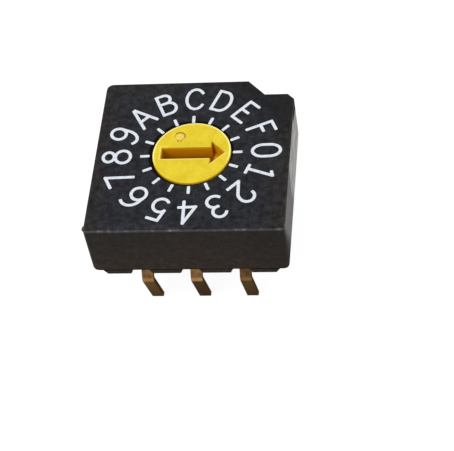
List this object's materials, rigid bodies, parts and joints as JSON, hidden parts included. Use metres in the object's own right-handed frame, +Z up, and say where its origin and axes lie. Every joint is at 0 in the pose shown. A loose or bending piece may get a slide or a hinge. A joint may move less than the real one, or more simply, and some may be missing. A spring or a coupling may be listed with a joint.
{
  "type": "rotary dip switch",
  "caption": "Square black rotary code switch for a circuit board, with a yellow arrow rotor, a dial on its top and kinked solder legs below.",
  "frame": {"origin": "under the middle of the case, in the plane of the six leg tips", "axes": "+Z up out of the dial, +X the way the arrow points at position 0, -Y the front row of legs"},
  "size_m": [0.01, 0.01, 0.0077],
  "materials": {
    "black_moulding": "satin black moulding with a fine grain",
    "yellow_moulding": "satin yellow moulding",
    "terminal_metal": "tarnished bronze strip",
    "gold_plate": "thin gold plating",
    "spring_steel": "rolled stainless strip",
    "seal_rubber": "black rubber",
    "potting": "cast sealing resin"
  },
  "bodies": {
    "housing": {"cover": "black_moulding", "base": "black_moulding", "bottom_seal": "potting", "terminal_1": "terminal_metal", "terminal_c_front": "terminal_metal", "terminal_4": "terminal_metal", "terminal_2": "terminal_metal", "terminal_c_back": "terminal_metal", "terminal_8": "terminal_metal", "contact_1": "gold_plate", "contact_c_front": "gold_plate", "contact_4": "gold_plate", "contact_2": "gold_plate", "contact_c_back": "gold_plate", "contact_8": "gold_plate", "detent_spring_left": "spring_steel", "detent_spring_right": "spring_steel"},
    "rotor": {"rotor": "yellow_moulding", "code_plate": "gold_plate", "o_ring": "seal_rubber"}
  },
  "joints": [
    {"name": "rotor_turn", "type": "hinge", "parent": "housing", "child": "rotor", "pos_m": [0, 0, 0.0067], "axis": [0, 0, 1], "continuous": true, "deforming": ["detent_spring_left", "detent_spring_right"]}
  ]
}
